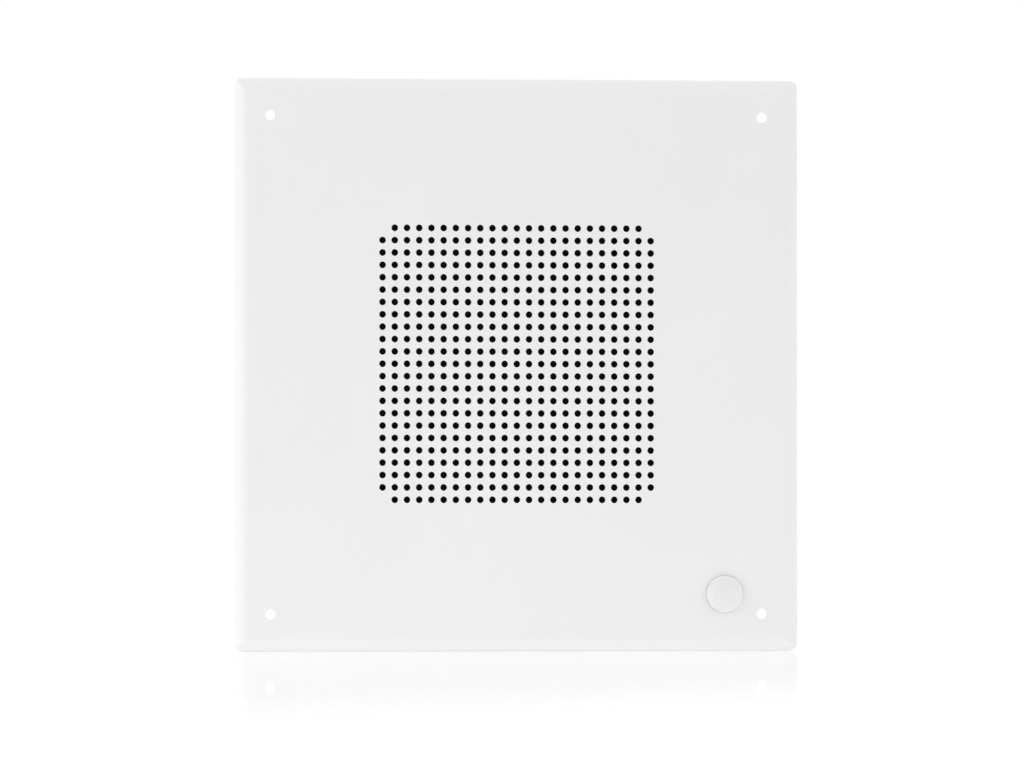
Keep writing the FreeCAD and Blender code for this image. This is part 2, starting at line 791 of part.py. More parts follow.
LEG_FIT_X = "(leg_width + bobbin_fit)"
LEG_FIT_Z = "(core_stack / 2 + bobbin_fit)"
FLANGE_X = "(leg_width + core_window - bobbin_fit)"
FLANGE_Z = "(core_stack / 2 + bobbin_reach)"


def make_transformer_bobbin():
    """Plastic spool on the middle leg: a square tube with a flange at each end."""
    body = new_body("transformer_bobbin")
    tube = ring_about_leg(f"{LEG_FIT_X} + bobbin_wall", f"{LEG_FIT_Z} + bobbin_wall")
    flange = ring_about_leg(FLANGE_X, FLANGE_Z)
    foot = f"{BOBBIN_FOOT} + bobbin_fit"
    length = f"{BOBBIN_TOP} - {BOBBIN_FOOT} - 2 * bobbin_fit"
    pad(body, outline(body, "XZ_Plane", foot, flange), "bobbin_flange")
    pad(body, outline(body, "XZ_Plane", foot, tube), length)
    pad(body, outline(body, "XZ_Plane", f"{foot} + {length} - bobbin_flange", flange), "bobbin_flange")
    pocket(body, outline(body, "XZ_Plane", "0", ring_about_leg(LEG_FIT_X, LEG_FIT_Z)))
    return body


def make_transformer_winding():
    """Taped coil on the bobbin, between its flanges."""
    body = new_body("transformer_winding")
    foot = f"{BOBBIN_FOOT} + bobbin_fit + bobbin_flange"
    length = f"{BOBBIN_TOP} - {BOBBIN_FOOT} - 2 * (bobbin_fit + bobbin_flange)"
    outer = ring_about_leg(f"{FLANGE_X} - winding_inset", f"{FLANGE_Z} - winding_inset")
    pad(body, outline(body, "XZ_Plane", foot, outer), length)
    soften(body, "Fillet", "winding_corner", along_depth)
    bore = ring_about_leg(f"{LEG_FIT_X} + bobbin_wall", f"{LEG_FIT_Z} + bobbin_wall")
    pocket(body, outline(body, "XZ_Plane", "0", bore))
    return body


def make_transformer_strap():
    """Bent steel strap over the core, with an ear on each side for a stud."""
    body = new_body("transformer_strap")
    ear = f"{INSIDE} + strap_gauge"
    top = f"{CORE_TOP} + strap_gauge"
    outside = [
        (f"-{EAR_REACH}", INSIDE),
        (f"-{CORE_HALF}", INSIDE),
        (f"-{CORE_HALF}", CORE_TOP),
        (CORE_HALF, CORE_TOP),
        (CORE_HALF, INSIDE),
        (EAR_REACH, INSIDE),
        (EAR_REACH, ear),
        (STRAP_HALF, ear),
        (STRAP_HALF, top),
        (f"-{STRAP_HALF}", top),
        (f"-{STRAP_HALF}", ear),
        (f"-{EAR_REACH}", ear),
    ]
    corners = [(across_core(x)[0], y) for x, y in outside]
    sketch = outline(body, "XY_Plane", f"{TRANSFORMER_Z} - core_stack / 2", corners)
    pad(body, sketch, "core_stack")
    soften(body, "Fillet", "strap_bend", lambda edge: at_depth(edge, top) and edge.BoundBox.XLength < 1e-6)
    pocket(body, circles(body, "0", ear_places(), "ear_stud + 2 * stud_clearance"))
    return body


def ear_places():
    """Centres of the strap's two stud holes."""
    reach = f"{STRAP_HALF} + ear_length / 2"
    return [(x, TRANSFORMER_Z) for x in across_core(f"-({reach})", reach)]


def make_transformer_studs():
    body = new_body("transformer_studs")
    pad(body, circles(body, INSIDE, ear_places(), "ear_stud"), "ear_stud_length")
    tip = f"{INSIDE} + ear_stud_length"
    soften(body, "Chamfer", "stud_point", lambda edge: at_depth(edge, tip))
    return body


def make_transformer_nuts():
    body = new_body("transformer_nuts")
    seat = f"{INSIDE} + strap_gauge"
    for x, z in ear_places():
        pad(body, outline(body, "XZ_Plane", seat, hexagon(f"({x})", z, "ear_nut_flats")), "ear_nut_height")
    pocket(body, circles(body, "0", ear_places(), "ear_stud"))
    return body


def tab_places():
    """x and z of the four line tabs above the core and the two loudspeaker tabs below it."""
    far = f"{TRANSFORMER_Z} + core_stack / 2 + bobbin_reach / 2"
    near = f"{TRANSFORMER_Z} - core_stack / 2 - bobbin_reach / 2"
    line = [(x, far) for x in across_core(*[f"{step} * tab_pitch" for step in (-1.5, -0.5, 0.5, 1.5)])]
    output = [(x, near) for x in across_core(*[f"{step} * tab_pitch" for step in (-1, 1)])]
    return line, output


def make_tabs(label, places):
    """Upright push-on blades on the bobbin's back flange."""
    body = new_body(label)
    foot = f"{BOBBIN_TOP} - bobbin_fit"
    for x, z in places:
        corners = box_corners(
            f"{x} - tab_width / 2", f"{z} - tab_gauge / 2", f"{x} + tab_width / 2", f"{z} + tab_gauge / 2"
        )
        pad(body, outline(body, "XZ_Plane", foot, corners), "tab_height")
    return body


# Wires


def wire_run(points):
    """A path of straight runs joined by arcs as large as the shorter run beside each corner allows."""
    edges = []
    last = points[0]
    for before, corner, after in zip(points, points[1:], points[2:]):
        inward = (corner - before).normalize()
        outward = (after - corner).normalize()
        cut = 0.45 * min((corner - before).Length, (after - corner).Length)
        first = corner - inward * cut
        final = corner + outward * cut
        halfway = (outward - inward).normalize()
        half_turn = inward.getAngle(outward) / 2
        radius = cut / math.tan(half_turn)
        middle = corner + halfway * (radius / math.cos(half_turn) - radius)
        edges.append(Part.LineSegment(last, first).toShape())
        edges.append(Part.Arc(first, middle, final).toShape())
        last = final
    edges.append(Part.LineSegment(last, points[-1]).toShape())
    return Part.Wire(edges)


def round_wire(path, diameter):
    """A tube along a path. Its volume is compared with its section times its length."""
    start = path.Edges[0]
    first = start.FirstParameter
    section = Part.makeCircle(diameter / 2, start.valueAt(first), start.tangentAt(first))
    tube = path.makePipeShell([Part.Wire(section)], True, True)
    expected = math.pi * diameter**2 / 4 * path.Length
    if abs(tube.Volume / expected - 1) > 0.01:
        raise RuntimeError("a wire's volume is not its section times its length")
    return tube


def placed_shape(label, shapes):
    piece = doc.addObject("Part::Feature", label)
    piece.Label = label
    piece.Shape = shapes[0] if len(shapes) == 1 else Part.makeCompound(shapes)
    return piece


def lug_point(across, along, depth):
    """A point at a distance across and along the terminal board's middle line."""
    x, z = diagonal(along, across)
    return point(x, depth, z)


def make_output_lead(label, side):
    """Insulated wire in one bow, from along a loudspeaker tab of the transformer to along a solder lug."""
    diameter = value("lead_diameter")
    run = 4 * diameter
    x, z = tab_places()[1][side]
    tab_top = f"{BOBBIN_TOP} - bobbin_fit + tab_height"
    start = point(x, f"{tab_top} - tab_width", f"{z} - (tab_gauge + lead_diameter) / 2")
    across = "lug_spacing / 2" if side == 0 else "-lug_spacing / 2"
    end = lug_point(across, f"{LUG_END} + lead_diameter / 2", f"{LUG_TIP} - lug_width")
    leave = start + FreeCAD.Vector(0, 2 * run, 0)
    arrive = end + FreeCAD.Vector(0, 2 * run, 0)
    sag = (leave + arrive) / 2 + FreeCAD.Vector(run, 0, -run) / 2
    path = wire_run([start, leave, sag, arrive, end])
    return placed_shape(label, [round_wire(path, diameter)])


def make_tinsel_leads():
    """Two braided leads from the lugs' feet, past the board's sides and through the windows to the cone."""
    tubes = []
    for hand in (1, -1):
        on_lug = f"{BOARD_BACK} + lug_gauge + tinsel_diameter / 2"
        start = lug_point(f"{hand} * lug_spacing / 2", f"{LUG_END} - lug_length + lug_width / 2", on_lug)
        side = f"{hand} * (board_width / 2 + 3 * tinsel_diameter)"
        over = lug_point(side, "basket_neck + window_margin * 1.6", f"{on_lug} + 2 * tinsel_diameter")
        past = lug_point(side, "basket_neck + window_margin / 2", f"{SEAT} - 2 * window_margin")
        foot = "(basket_neck - window_margin)"
        cone_back = f"{CONE_RIM} + cone_wall + ({CONE_SLOPE_START} - {foot}) * {CONE_SLOPE}"
        end = lug_point(f"{hand} * spoke_width / 4", foot, f"{cone_back} + tinsel_diameter")
        tubes.append(round_wire(wire_run([start, over, past, end]), value("tinsel_diameter")))
    return placed_shape("tinsel_leads", tubes)


pieces = [
    make_baffle(),
    make_badge(),
    make_scrim(),
    make_gasket(),
    make_driver_studs(),
    make_driver_nuts(),
    make_basket(),
    make_top_plate(),
    make_magnet(),
    make_pole_piece(),
    make_cone(),
    make_dust_cap(),
    make_coil_former(),
    make_voice_coil(),
    make_surround(),
    make_spider(),
    make_terminal_board(),
    make_terminal_rivet(),
    make_terminal_lugs(),
    make_tinsel_leads(),
    make_transformer_core(),
    make_transformer_bobbin(),
    make_transformer_winding(),
    make_transformer_strap(),
    make_transformer_studs(),
    make_transformer_nuts(),
    make_tabs("line_tabs", tab_places()[0]),
    make_tabs("output_tabs", tab_places()[1]),
    make_output_lead("output_lead_red", 0),
    make_output_lead("output_lead_black", 1),
]

doc.recompute()
for item in doc.Objects:
    if {"Invalid", "Error"} & set(item.State):
        raise RuntimeError(f"{item.Label} failed: {item.State}")
for piece in pieces:
    if piece.Shape.isNull() or not piece.Shape.isValid() or not piece.Shape.Solids:
        raise RuntimeError(f"{piece.Label} is not a sound solid")

os.makedirs("parts", exist_ok=True)
for piece in pieces:
    piece.Shape.exportStep(os.path.join("parts", f"{piece.Label}.step"))
    print(f"{piece.Label}: {len(piece.Shape.Solids)} solids, {piece.Shape.Volume:.0f} mm3")
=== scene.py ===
import math

import bmesh
import bpy
import mathutils
import numpy as np
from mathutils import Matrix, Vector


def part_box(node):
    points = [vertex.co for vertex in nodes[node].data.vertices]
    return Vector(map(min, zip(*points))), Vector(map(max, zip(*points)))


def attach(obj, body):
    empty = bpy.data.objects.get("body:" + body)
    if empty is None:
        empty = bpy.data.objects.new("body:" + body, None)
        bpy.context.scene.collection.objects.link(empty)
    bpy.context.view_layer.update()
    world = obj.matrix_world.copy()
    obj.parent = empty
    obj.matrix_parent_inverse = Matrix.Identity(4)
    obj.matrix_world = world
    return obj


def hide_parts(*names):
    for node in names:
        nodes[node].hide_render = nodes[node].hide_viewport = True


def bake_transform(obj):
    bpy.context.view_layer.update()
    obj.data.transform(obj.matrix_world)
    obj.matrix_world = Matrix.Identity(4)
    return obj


# Square perforated wall speaker on a white table: metres, front towards -Y, +Z up.

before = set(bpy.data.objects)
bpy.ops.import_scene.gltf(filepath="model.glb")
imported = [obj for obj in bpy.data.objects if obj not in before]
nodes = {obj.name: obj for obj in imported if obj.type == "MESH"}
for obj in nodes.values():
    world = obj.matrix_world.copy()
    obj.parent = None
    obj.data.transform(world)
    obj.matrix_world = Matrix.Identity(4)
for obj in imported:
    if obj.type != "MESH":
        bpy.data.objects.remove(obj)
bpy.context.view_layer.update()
mm = 0.001
frameBody, coneBody = "speaker_frame", "cone_assembly"
print("frame loaded:", len(nodes), "nodes")


# Shader helpers

def newMaterial(name):
    # an empty finish, its node tree and its main shader
    material = bpy.data.materials.new(name)
    material.use_nodes = True
    tree = material.node_tree
    shader = tree.nodes["Principled BSDF"]
    return material, tree, shader


def addNode(tree, kind, **settings):
    node = tree.nodes.new(kind)
    for key, setting in settings.items():
        setattr(node, key, setting)
    return node


def objectPlace(tree):
    # places in the object's own metres, so that a pattern stays on its piece
    return addNode(tree, "ShaderNodeTexCoord").outputs["Object"]


def noise(tree, place, sizeMm, detail=3.0, rough=0.55, stretch=None):
    # cloudy value around 0.5, with blotches about sizeMm across; stretch squeezes them along an axis
    if stretch:
        mapping = addNode(tree, "ShaderNodeMapping")
        mapping.inputs["Scale"].default_value = stretch
        tree.links.new(place, mapping.inputs["Vector"])
        place = mapping.outputs["Vector"]
    texture = addNode(tree, "ShaderNodeTexNoise")
    texture.inputs["Scale"].default_value = 1 / (sizeMm * mm)
    texture.inputs["Detail"].default_value = detail
    texture.inputs["Roughness"].default_value = rough
    tree.links.new(place, texture.inputs["Vector"])
    return texture.outputs["Fac"]


def bands(tree, place, pitchMm, axis, rings=False):
    # smooth ridges pitchMm apart: along one axis, or as rings about it
    texture = addNode(tree, "ShaderNodeTexWave", wave_type="RINGS" if rings else "BANDS")
    if rings:
        texture.rings_direction = axis
    else:
        texture.bands_direction = axis
    texture.inputs["Scale"].default_value = 2 * math.pi / (20 * pitchMm * mm)
    tree.links.new(place, texture.inputs["Vector"])
    return texture.outputs["Fac"]


def span(tree, value, low, high, fromLow=0.3, fromHigh=0.7):
    # carries fromLow..fromHigh over to low..high, in a straight line
    node = addNode(tree, "ShaderNodeMapRange")
    node.inputs["From Min"].default_value = fromLow
    node.inputs["From Max"].default_value = fromHigh
    node.inputs["To Min"].default_value = low
    node.inputs["To Max"].default_value = high
    tree.links.new(value, node.inputs["Value"])
    return node.outputs["Result"]


def combine(tree, operation, first, second):
    # one sum of two values, each a socket or a plain number
    node = addNode(tree, "ShaderNodeMath", operation=operation)
    for socket, value in zip(node.inputs, (first, second)):
        if isinstance(value, (int, float)):
            socket.default_value = value
        else:
            tree.links.new(value, socket)
    return node.outputs["Value"]


def weighed(tree, first, firstShare, second, secondShare):
    # first times its share plus second times its share
    return combine(tree, "ADD", combine(tree, "MULTIPLY", first, firstShare),
                   combine(tree, "MULTIPLY", second, secondShare))


def twoTone(tree, shader, value, dark, light):
    # base colour from dark at 0 to light at 1
    node = addNode(tree, "ShaderNodeMix", data_type="RGBA")
    colourSockets = [socket for socket in node.inputs if socket.type == "RGBA"]
    colourSockets[0].default_value = (*dark, 1)
    colourSockets[1].default_value = (*light, 1)
    tree.links.new(value, node.inputs["Factor"])
    result = next(socket for socket in node.outputs if socket.type == "RGBA")
    tree.links.new(result, shader.inputs["Base Color"])


def bump(tree, shader, height, depthMm):
    # fine relief of depthMm between height 0 and 1
    node = addNode(tree, "ShaderNodeBump")
    node.inputs["Strength"].default_value = 1.0
    node.inputs["Distance"].default_value = depthMm * mm
    tree.links.new(height, node.inputs["Height"])
    tree.links.new(node.outputs["Normal"], shader.inputs["Normal"])


def setPlain(shader, **sizes):
    # constant values straight on the shader's sockets
    for key, size in sizes.items():
        shader.inputs[key.replace("_", " ")].default_value = size


def coated(name, spec):
    # sprayed or moulded surface: soft colour clouds, uneven gloss and a fine skin texture
    material, tree, shader = newMaterial(name)
    place = objectPlace(tree)
    clouds = noise(tree, place, spec["cloudMm"])
    twoTone(tree, shader, clouds, spec["dark"], spec["light"])
    tree.links.new(span(tree, clouds, *spec["rough"]), shader.inputs["Roughness"])
    bump(tree, shader, noise(tree, place, spec["grainMm"], detail=2.0), spec["grainDepthMm"])
    setPlain(shader, Metallic=spec.get("metal", 0.0))
    return material


def rimmed(name, spec):
    # round badge: the tone follows the distance from its centre, from satin face to a rim with a painted
    # highlight to an edge with painted shade, and soft clouds take a little of it away
    material, tree, shader = newMaterial(name)
    place = objectPlace(tree)
    shift = addNode(tree, "ShaderNodeMapping")
    shift.inputs["Scale"].default_value = (1, 0, 1)
    shift.inputs["Location"].default_value = (-spec["centre"][0] * mm, 0, -spec["centre"][1] * mm)
    tree.links.new(place, shift.inputs["Vector"])
    reach = addNode(tree, "ShaderNodeVectorMath", operation="LENGTH")
    tree.links.new(shift.outputs["Vector"], reach.inputs[0])
    ramp = addNode(tree, "ShaderNodeValToRGB")
    share = span(tree, reach.outputs["Value"], 0.0, 1.0, 0.0, spec["radius"] * mm)
    tree.links.new(share, ramp.inputs["Fac"])
    stops = ramp.color_ramp.elements
    stops[0].color = (*spec["face"], 1)
    stops[1].color = (*spec["edge"], 1)
    for stopMm, tone in spec["stops"]:
        stops.new(stopMm / spec["radius"]).color = (*spec[tone], 1)
    clouds = noise(tree, place, spec["cloudMm"])
    cloudy = addNode(tree, "ShaderNodeMix", data_type="RGBA", blend_type="MULTIPLY")
    tones = [socket for socket in cloudy.inputs if socket.type == "RGBA"]
    tree.links.new(ramp.outputs["Color"], tones[0])
    tones[1].default_value = (*spec["cloud"], 1)
    tree.links.new(span(tree, clouds, 0.0, 1.0), cloudy.inputs["Factor"])
    result = next(socket for socket in cloudy.outputs if socket.type == "RGBA")
    tree.links.new(result, shader.inputs["Base Color"])
    tree.links.new(span(tree, clouds, *spec["rough"]), shader.inputs["Roughness"])
    setPlain(shader, Coat_Weight=spec["coat"], Coat_Roughness=spec["coatRough"])
    return material


def lathed(name, spec):
    # metal turned about the speaker's axis: rings of tool marks, with clouds in the plating
    material, tree, shader = newMaterial(name)
    place = objectPlace(tree)
    rings = bands(tree, place, spec["ringMm"], "Y", rings=True)
    clouds = noise(tree, place, spec["cloudMm"])
    marks = weighed(tree, rings, spec["ringShare"], clouds, 1 - spec["ringShare"])
    twoTone(tree, shader, marks, spec["dark"], spec["light"])
    tree.links.new(span(tree, clouds, *spec["rough"]), shader.inputs["Roughness"])
    bump(tree, shader, marks, spec["ringDepthMm"])
    setPlain(shader, Metallic=1.0)
    return material


def woven(name, spec, threadShare=0.7, slubShare=0.4, sheenRough=0.5):
    # plain weave: the product of two crossed sets of ridges, with slubs along the threads
    material, tree, shader = newMaterial(name)
    place = objectPlace(tree)
    warp = bands(tree, place, spec["threadMm"], "X")
    weft = bands(tree, place, spec["threadMm"], "Z")
    cloth = combine(tree, "MULTIPLY", warp, weft)
    slubs = noise(tree, place, spec["slubMm"])
    tone = weighed(tree, cloth, threadShare, slubs, slubShare)
    twoTone(tree, shader, tone, spec["dark"], spec["light"])
    tree.links.new(span(tree, slubs, *spec["rough"]), shader.inputs["Roughness"])
    bump(tree, shader, cloth, spec["threadDepthMm"])
    setPlain(shader, Sheen_Weight=spec["sheen"], Sheen_Roughness=sheenRough, Specular_IOR_Level=spec["gloss"])
    return material


def striped(name, spec, stripeShare=0.5):
    # layers or turns: fine bands along one axis over clouds
    material, tree, shader = newMaterial(name)
    place = objectPlace(tree)
    lines = bands(tree, place, spec["stripeMm"], spec["axis"])
    clouds = noise(tree, place, spec["cloudMm"])
    tone = weighed(tree, lines, stripeShare, clouds, 1 - stripeShare)
    twoTone(tree, shader, tone, spec["dark"], spec["light"])
    tree.links.new(span(tree, clouds, *spec["rough"]), shader.inputs["Roughness"])
    bump(tree, shader, lines, spec["stripeDepthMm"])
    setPlain(shader, Metallic=spec.get("metal", 0.0))
    return material


def pulp(name, spec, fibreSqueeze=0.25, sheen=0.15, sheenRough=0.6):
    # pressed paper: short fibres that lie every way, from noise stretched along two directions
    material, tree, shader = newMaterial(name)
    place = objectPlace(tree)
    lying = noise(tree, place, spec["fibreMm"], stretch=(fibreSqueeze, 1, 1))
    standing = noise(tree, place, spec["fibreMm"], stretch=(1, 1, fibreSqueeze))
    fibres = combine(tree, "MAXIMUM", lying, standing)
    twoTone(tree, shader, fibres, spec["dark"], spec["light"])
    tree.links.new(span(tree, fibres, *spec["rough"]), shader.inputs["Roughness"])
    bump(tree, shader, fibres, spec["fibreDepthMm"])
    setPlain(shader, Sheen_Weight=sheen, Sheen_Roughness=sheenRough)
    return material


whiteCoat = {"dark": (0.815, 0.815, 0.815), "light": (0.845, 0.845, 0.845), "cloudMm": 60,
             "rough": (0.42, 0.5), "grainMm": 0.9, "grainDepthMm": 0.012}
# rim is a painted highlight, a bright ring; edge is painted shade, a dark outline at the badge's side and
# foot
badgeFace = {"face": (0.79, 0.79, 0.795), "rim": (0.93, 0.93, 0.93), "edge": (0.5, 0.5, 0.51), "radius": 9.5,
             "centre": (108.4, -117.9), "stops": ((8.5, "face"), (8.65, "rim"), (9.2, "rim"), (9.3, "edge")),
             "cloudMm": 5, "cloud": (0.97, 0.97, 0.97), "rough": (0.22, 0.32), "coat": 0.5, "coatRough": 0.15}
blackCloth = {"dark": (0.001, 0.001, 0.001), "light": (0.006, 0.006, 0.006), "threadMm": 0.55, "slubMm": 1.6,
              "threadDepthMm": 0.08, "rough": (0.85, 0.95), "sheen": 0.0, "gloss": 0.05}
foamBlack = {"dark": (0.02, 0.02, 0.02), "light": (0.06, 0.06, 0.06), "cloudMm": 0.8, "rough": (0.85, 0.95),
             "grainMm": 0.5, "grainDepthMm": 0.15}
zincBright = {"dark": (0.36, 0.37, 0.37), "light": (0.60, 0.61, 0.61), "cloudMm": 5, "rough": (0.22, 0.38),
              "grainMm": 0.35, "grainDepthMm": 0.004, "metal": 1.0}
zincTurned = {"dark": (0.30, 0.31, 0.31), "light": (0.60, 0.61, 0.60), "cloudMm": 9, "rough": (0.24, 0.42),
              "ringMm": 0.7, "ringDepthMm": 0.008, "ringShare": 0.35}
blackEnamel = {"dark": (0.018, 0.018, 0.019), "light": (0.034, 0.034, 0.036), "cloudMm": 14,
               "rough": (0.3, 0.42), "grainMm": 0.8, "grainDepthMm": 0.02}
ferrite = {"dark": (0.045, 0.045, 0.048), "light": (0.095, 0.094, 0.096), "cloudMm": 2.2, "rough": (0.5, 0.7),
           "grainMm": 0.3, "grainDepthMm": 0.03}
conePulp = {"dark": (0.022, 0.021, 0.02), "light": (0.075, 0.072, 0.069), "fibreMm": 0.7,
            "fibreDepthMm": 0.06, "rough": (0.75, 0.92)}
formerCard = {"dark": (0.36, 0.24, 0.12), "light": (0.5, 0.36, 0.2), "fibreMm": 0.6, "fibreDepthMm": 0.02,
              "rough": (0.6, 0.75)}
copperTurns = {"dark": (0.42, 0.16, 0.07), "light": (0.72, 0.34, 0.18), "stripeMm": 0.22, "axis": "Y",
               "cloudMm": 3, "stripeDepthMm": 0.05, "rough": (0.25, 0.4), "metal": 1.0}
dopedCloth = {"dark": (0.012, 0.012, 0.012), "light": (0.05, 0.05, 0.05), "threadMm": 0.5, "slubMm": 1.2,
              "threadDepthMm": 0.05, "rough": (0.5, 0.75), "sheen": 0.1, "gloss": 0.5}
goldCloth = {"dark": (0.33, 0.21, 0.07), "light": (0.6, 0.43, 0.19), "threadMm": 0.6, "slubMm": 1.4,
             "threadDepthMm": 0.06, "rough": (0.65, 0.85), "sheen": 0.15, "gloss": 0.5}
phenolic = {"dark": (0.2, 0.095, 0.045), "light": (0.3, 0.155, 0.075), "fibreMm": 1.2, "fibreDepthMm": 0.012,
            "rough": (0.38, 0.5)}
tinned = {"dark": (0.6, 0.58, 0.53), "light": (0.78, 0.76, 0.71), "cloudMm": 1.6, "rough": (0.24, 0.4),
          "grainMm": 0.4, "grainDepthMm": 0.01, "metal": 1.0}
solder = {"dark": (0.55, 0.55, 0.55), "light": (0.76, 0.76, 0.75), "cloudMm": 0.9, "rough": (0.15, 0.32),
          "grainMm": 0.6, "grainDepthMm": 0.03, "metal": 1.0}
braid = {"dark": (0.3, 0.15, 0.08), "light": (0.7, 0.42, 0.25), "stripeMm": 0.35, "axis": "Y", "cloudMm": 0.7,
         "stripeDepthMm": 0.06, "rough": (0.35, 0.55), "metal": 0.8}
laminations = {"dark": (0.05, 0.047, 0.045), "light": (0.17, 0.16, 0.15), "stripeMm": 0.5, "axis": "Z",
               "cloudMm": 4, "stripeDepthMm": 0.06, "rough": (0.35, 0.55), "metal": 0.6}
nylon = {"dark": (0.62, 0.59, 0.5), "light": (0.72, 0.69, 0.6), "cloudMm": 5, "rough": (0.4, 0.52),
         "grainMm": 0.7, "grainDepthMm": 0.01}
yellowTape = {"dark": (0.52, 0.34, 0.03), "light": (0.76, 0.55, 0.08), "stripeMm": 4.6, "axis": "Y",
              "cloudMm": 3, "stripeDepthMm": 0.12, "rough": (0.25, 0.4)}
redSleeve = {"dark": (0.36, 0.01, 0.01), "light": (0.5, 0.025, 0.02), "cloudMm": 3, "rough": (0.35, 0.45),
             "grainMm": 0.5, "grainDepthMm": 0.01}
blackSleeve = {"dark": (0.01, 0.01, 0.01), "light": (0.022, 0.022, 0.022), "cloudMm": 3,
               "rough": (0.35, 0.45), "grainMm": 0.5, "grainDepthMm": 0.01}

finishes = {
    "whiteCoat": coated("whiteCoat", whiteCoat),
    "badgeFace": rimmed("badgeFace", badgeFace),
    "blackCloth": woven("blackCloth", blackCloth),
    "foamBlack": coated("foamBlack", foamBlack),
    "zincBright": coated("zincBright", zincBright),
    "zincTurned": lathed("zincTurned", zincTurned),
    "blackEnamel": coated("blackEnamel", blackEnamel),
    "ferrite": coated("ferrite", ferrite),
    "conePulp": pulp("conePulp", conePulp),
    "formerCard": pulp("formerCard", formerCard),
    "copperTurns": striped("copperTurns", copperTurns),
    "dopedCloth": woven("dopedCloth", dopedCloth),
    "goldCloth": woven("goldCloth", goldCloth),
    "phenolic": pulp("phenolic", phenolic),
    "tinned": coated("tinned", tinned),
    "solder": coated("solder", solder),
    "braid": striped("braid", braid),
    "laminations": striped("laminations", laminations),
    "nylon": coated("nylon", nylon),
    "yellowTape": striped("yellowTape", yellowTape),
    "redSleeve": coated("redSleeve", redSleeve),
    "blackSleeve": coated("blackSleeve", blackSleeve),
}
nodeFinish = {
    "baffle": "whiteCoat", "badge": "badgeFace", "scrim": "blackCloth", "gasket": "foamBlack",
    "driver_studs": "zincBright", "driver_nuts": "zincBright", "basket": "blackEnamel",
    "top_plate": "zincTurned", "magnet": "ferrite", "pole_piece": "zincTurned", "cone": "conePulp",
    "dust_cap": "conePulp", "coil_former": "formerCard", "voice_coil": "copperTurns",
    "surround": "dopedCloth", "spider": "goldCloth", "terminal_board": "phenolic",
    "terminal_rivet": "tinned", "terminal_lugs": "tinned", "tinsel_leads": "braid",
    "transformer_core": "laminations", "transformer_bobbin": "nylon", "transformer_winding": "yellowTape",
    "transformer_strap": "zincBright", "transformer_studs": "zincBright", "transformer_nuts": "zincBright",
    "line_tabs": "tinned", "output_tabs": "tinned", "output_lead_red": "redSleeve",
    "output_lead_black": "blackSleeve",
}
for nodeName, finishName in nodeFinish.items():
    nodes[nodeName].data.materials.clear()
    nodes[nodeName].data.materials.append(finishes[finishName])
print("finishes on", len(nodeFinish), "nodes")


# Surfaces from grids of points

def quads(rows, columns, closeRows, closeColumns):
    # corner numbers of the quads that join neighbours on a grid; a closed way joins its end to its start
    row = np.arange(rows if closeRows else rows - 1)
    column = np.arange(columns if closeColumns else columns - 1)
    row, column = np.meshgrid(row, column, indexing="ij")
    nextRow, nextColumn = (row + 1) % rows, (column + 1) % columns
    corners = (row * columns + column, row * columns + nextColumn,
               nextRow * columns + nextColumn, nextRow * columns + column)
    return np.stack(corners, axis=-1).reshape(-1, 4)


def newPiece(name, grids, finishName, closeRows=False, closeColumns=True, sharpAngle=35):
    # one mesh from several grids of points in mm; doubles at seams and poles merged, faces turned outwards
    points, faces, count = [], [], 0
    for grid in grids:
        rows, columns = grid.shape[:2]
        points.append(grid.reshape(-1, 3) * mm)
        faces.append(quads(rows, columns, closeRows, closeColumns) + count)
        count += rows * columns
    mesh = bpy.data.meshes.new(name)
    mesh.from_pydata(np.concatenate(points).tolist(), [], np.concatenate(faces).tolist())
    work = bmesh.new()
    work.from_mesh(mesh)
    bmesh.ops.remove_doubles(work, verts=work.verts, dist=1e-6)
    bmesh.ops.dissolve_degenerate(work, edges=work.edges, dist=1e-7)
    bmesh.ops.recalc_face_normals(work, faces=work.faces)
    work.to_mesh(mesh)
    work.free()
    mesh.shade_smooth()
    mesh.set_sharp_from_angle(angle=math.radians(sharpAngle))
    mesh.materials.append(finishes[finishName])
    piece = bpy.data.objects.new(name, mesh)
    bpy.context.scene.collection.objects.link(piece)
    return piece


def turned(profile, steps, axisX=0.0, axisZ=0.0):
    # a profile of radius and depth carried round an axis along Y: x = r cos a, z = r sin a
    profile = np.asarray(profile, float)
    angle = np.linspace(0, 2 * np.pi, steps, endpoint=False)
    x = axisX + profile[:, :1] * np.cos(angle)
    z = axisZ + profile[:, :1] * np.sin(angle)
    y = np.repeat(profile[:, 1:], steps, axis=1)
    return np.stack([x, y, z], axis=-1)


def walled(radii, front, wall):
    # closed profile of a sheet: its front line outwards, then the same line set back by the wall, inwards
    radii, front = np.asarray(radii), np.asarray(front)
    return np.concatenate([np.stack([radii, front], 1), np.stack([radii, front + wall], 1)[::-1]])


def alongBoard(along, across, depth):
    # a point by its distance along and across the line that rises at 45 degrees to the right
    half = math.sqrt(0.5)
    return np.array([(along - across) * half, depth, (along + across) * half])


def settle(piece, slot, *replaced, body=frameBody):
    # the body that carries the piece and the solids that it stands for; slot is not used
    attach(piece, body)
    if replaced:
        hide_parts(*replaced)


# Badge: a domed disc in a raised rim with a painted highlight, which stands a little clear of the plate at
# its foot

badgeSize = {"x": 108.4, "z": -117.9, "radius": 9.5, "foot": 9.05, "footHeight": 0.15, "undercut": 0.4,
             "edge": 1.1, "soft": 0.4, "rimWidth": 0.8, "step": 0.15, "groove": 0.18, "dome": 1.25}


